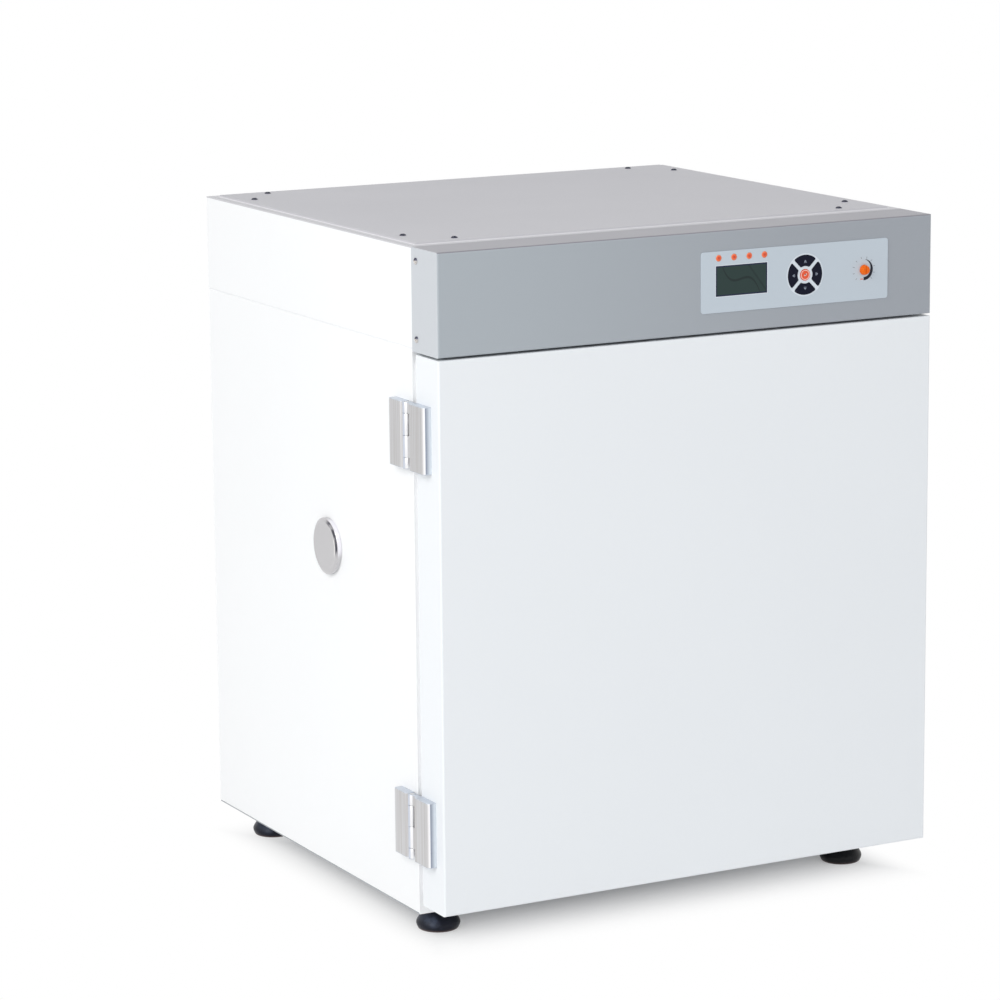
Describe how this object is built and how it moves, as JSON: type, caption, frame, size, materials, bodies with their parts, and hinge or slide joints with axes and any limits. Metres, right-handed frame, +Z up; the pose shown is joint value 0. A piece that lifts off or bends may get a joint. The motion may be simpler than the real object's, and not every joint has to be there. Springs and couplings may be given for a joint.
{
  "type": "laboratory incubator",
  "caption": "White bench laboratory incubator with a solid outer door, inner glass door, keypad panel, side access port, two wire shelves and four feet.",
  "frame": {"origin": "on the floor, below the middle of the cabinet with its door", "axes": "+X to the right seen from the front, +Y to the back, +Z up"},
  "size_m": [0.6119, 0.5826, 0.7464],
  "materials": {
    "enamel_white": "smooth white powder coat",
    "enamel_lid": "fine textured light grey coat",
    "enamel_door": "smooth white coat with a cool cast",
    "fascia_silver": "silver grey coat",
    "seam_shadow": "coated edge in the seam",
    "overlay_film": "printed polyester film",
    "display_glass": "clear window over a dark display",
    "lamp_lens": "tinted clear lens",
    "circuit_board": "lacquered laminate",
    "dark_plastic": "moulded",
    "black_plastic": "moulded, fine grain",
    "liner_steel": "brushed stainless sheet",
    "bright_steel": "bright drawn stainless",
    "insulation": "mineral wool slab",
    "motor_grey": "grey coat",
    "heater_sheath": "heat tinted sheath",
    "galvanised": "zinc coated sheet",
    "zinc": "zinc plated",
    "seal_rubber": "soft silicone",
    "gasket_silicone": "light grey silicone",
    "hinge_steel": "brushed stainless",
    "pull_plastic": "moulded grip",
    "door_glass": "clear tempered pane",
    "wheel_aluminium": "formed sheet",
    "key_dark": "printed dark key",
    "key_select": "printed orange key",
    "knob_orange": "orange moulded knob",
    "cap_polished": "polished stainless",
    "screw_heads": "plated dome head",
    "foot_rubber": "moulded black rubber"
  },
  "bodies": {
    "cabinet": {"lower_left_panel": "enamel_white", "lower_right_panel": "enamel_white", "lower_back_panel": "enamel_white", "base_pan": "galvanised", "front_frame": "enamel_white", "upper_left_panel": "enamel_white", "upper_right_panel": "enamel_white", "upper_back_panel": "enamel_white", "deck_plate": "seam_shadow", "top_lid": "enamel_lid", "cover_screws": "screw_heads", "control_fascia": "fascia_silver", "control_overlay": "overlay_film", "display_window": "display_glass", "indicator_lenses": "lamp_lens", "control_board": "circuit_board", "power_supply": "galvanised", "terminal_block": "dark_plastic", "temperature_limiter": "dark_plastic", "power_inlet": "black_plastic", "switch_housing": "black_plastic", "chamber_liner": "liner_steel", "wall_insulation": "insulation", "duct_plate": "liner_steel", "fan_motor": "motor_grey", "heater_ring": "heater_sheath", "temperature_probe": "bright_steel", "shelf_rails": "liner_steel", "port_tube": "bright_steel", "base_channels": "galvanised", "foot_nuts": "zinc", "glass_door_seal": "seal_rubber", "glass_hinge_brackets": "liner_steel", "hinge_cabinet_leaves": "hinge_steel", "hinge_pins": "bright_steel"},
    "door": {"door_outer_skin": "enamel_door", "door_inner_panel": "enamel_white", "door_insulation": "insulation", "door_gasket": "gasket_silicone", "hinge_door_leaves": "hinge_steel", "door_pull": "pull_plastic"},
    "glass_door": {"glass_pane": "door_glass", "glass_hinge_clamps": "bright_steel", "glass_knob": "black_plastic"},
    "lower_shelf": {"lower_shelf": "bright_steel"},
    "upper_shelf": {"upper_shelf": "bright_steel"},
    "fan_wheel": {"fan_wheel": "wheel_aluminium"},
    "key_up": {"up_key": "key_dark"},
    "key_down": {"down_key": "key_dark"},
    "key_left": {"left_key": "key_dark"},
    "key_right": {"right_key": "key_dark"},
    "key_select": {"select_key": "key_select"},
    "limit_knob": {"limit_knob": "knob_orange"},
    "power_rocker": {"power_rocker": "black_plastic"},
    "port_cap": {"port_cap": "cap_polished"},
    "port_stopper": {"port_stopper": "seal_rubber"},
    "foot_front_left": {"foot_front_left": "foot_rubber"},
    "foot_front_right": {"foot_front_right": "foot_rubber"},
    "foot_back_left": {"foot_back_left": "foot_rubber"},
    "foot_back_right": {"foot_back_right": "foot_rubber"}
  },
  "joints": [
    {"name": "door_hinge", "type": "hinge", "parent": "cabinet", "child": "door", "pos_m": [-0.3054, -0.225, 0.3382], "axis": [0, 0, -1], "range_deg": [0, 130]},
    {"name": "glass_door_hinge", "type": "hinge", "parent": "cabinet", "child": "glass_door", "pos_m": [-0.232, -0.2225, 0.3335], "axis": [0, 0, -1], "range_deg": [0, 100]},
    {"name": "lower_shelf_slide", "type": "slide", "parent": "cabinet", "child": "lower_shelf", "axis": [0, -1, 0], "range_m": [0, 0.02]},
    {"name": "upper_shelf_slide", "type": "slide", "parent": "cabinet", "child": "upper_shelf", "axis": [0, -1, 0], "range_m": [0, 0.02]},
    {"name": "fan_turn", "type": "hinge", "parent": "cabinet", "child": "fan_wheel", "pos_m": [0, 0.2295, 0.3335], "axis": [0, 1, 0], "continuous": true},
    {"name": "up_key_press", "type": "slide", "parent": "cabinet", "child": "key_up", "axis": [0, 1, 0], "range_m": [0, 0.0006], "stiffness_N_per_m": 2000},
    {"name": "down_key_press", "type": "slide", "parent": "cabinet", "child": "key_down", "axis": [0, 1, 0], "range_m": [0, 0.0006], "stiffness_N_per_m": 2000},
    {"name": "left_key_press", "type": "slide", "parent": "cabinet", "child": "key_left", "axis": [0, 1, 0], "range_m": [0, 0.0006], "stiffness_N_per_m": 2000},
    {"name": "right_key_press", "type": "slide", "parent": "cabinet", "child": "key_right", "axis": [0, 1, 0], "range_m": [0, 0.0006], "stiffness_N_per_m": 2000},
    {"name": "select_key_press", "type": "slide", "parent": "cabinet", "child": "key_select", "axis": [0, 1, 0], "range_m": [0, 0.0006], "stiffness_N_per_m": 2000},
    {"name": "limit_knob_turn", "type": "hinge", "parent": "cabinet", "child": "limit_knob", "pos_m": [0.213, -0.2873, 0.6885], "axis": [0, 1, 0], "range_deg": [-150, 150]},
    {"name": "power_rocker_tilt", "type": "hinge", "parent": "cabinet", "child": "power_rocker", "pos_m": [0.155, 0.284, 0.69035], "axis": [-1, 0, 0], "range_deg": [0, 16]},
    {"name": "port_cap_pull", "type": "slide", "parent": "cabinet", "child": "port_cap", "axis": [-1, 0, 0], "range_m": [0, 0.08]},
    {"name": "port_stopper_pull", "type": "slide", "parent": "cabinet", "child": "port_stopper", "axis": [1, 0, 0], "range_m": [0, 0.1]},
    {"name": "foot_front_left_turn", "type": "hinge", "parent": "cabinet", "child": "foot_front_left", "pos_m": [-0.256, -0.1845, 0.0325], "axis": [0, 0, 1], "continuous": true},
    {"name": "foot_front_right_turn", "type": "hinge", "parent": "cabinet", "child": "foot_front_right", "pos_m": [0.256, -0.1845, 0.0325], "axis": [0, 0, 1], "continuous": true},
    {"name": "foot_back_left_turn", "type": "hinge", "parent": "cabinet", "child": "foot_back_left", "pos_m": [-0.256, 0.2355, 0.0325], "axis": [0, 0, 1], "continuous": true},
    {"name": "foot_back_right_turn", "type": "hinge", "parent": "cabinet", "child": "foot_back_right", "pos_m": [0.256, 0.2355, 0.0325], "axis": [0, 0, 1], "continuous": true}
  ],
  "couplings": [
    {"joint": "glass_door_hinge", "follows": "door_hinge", "ratio": 0.75}
  ]
}
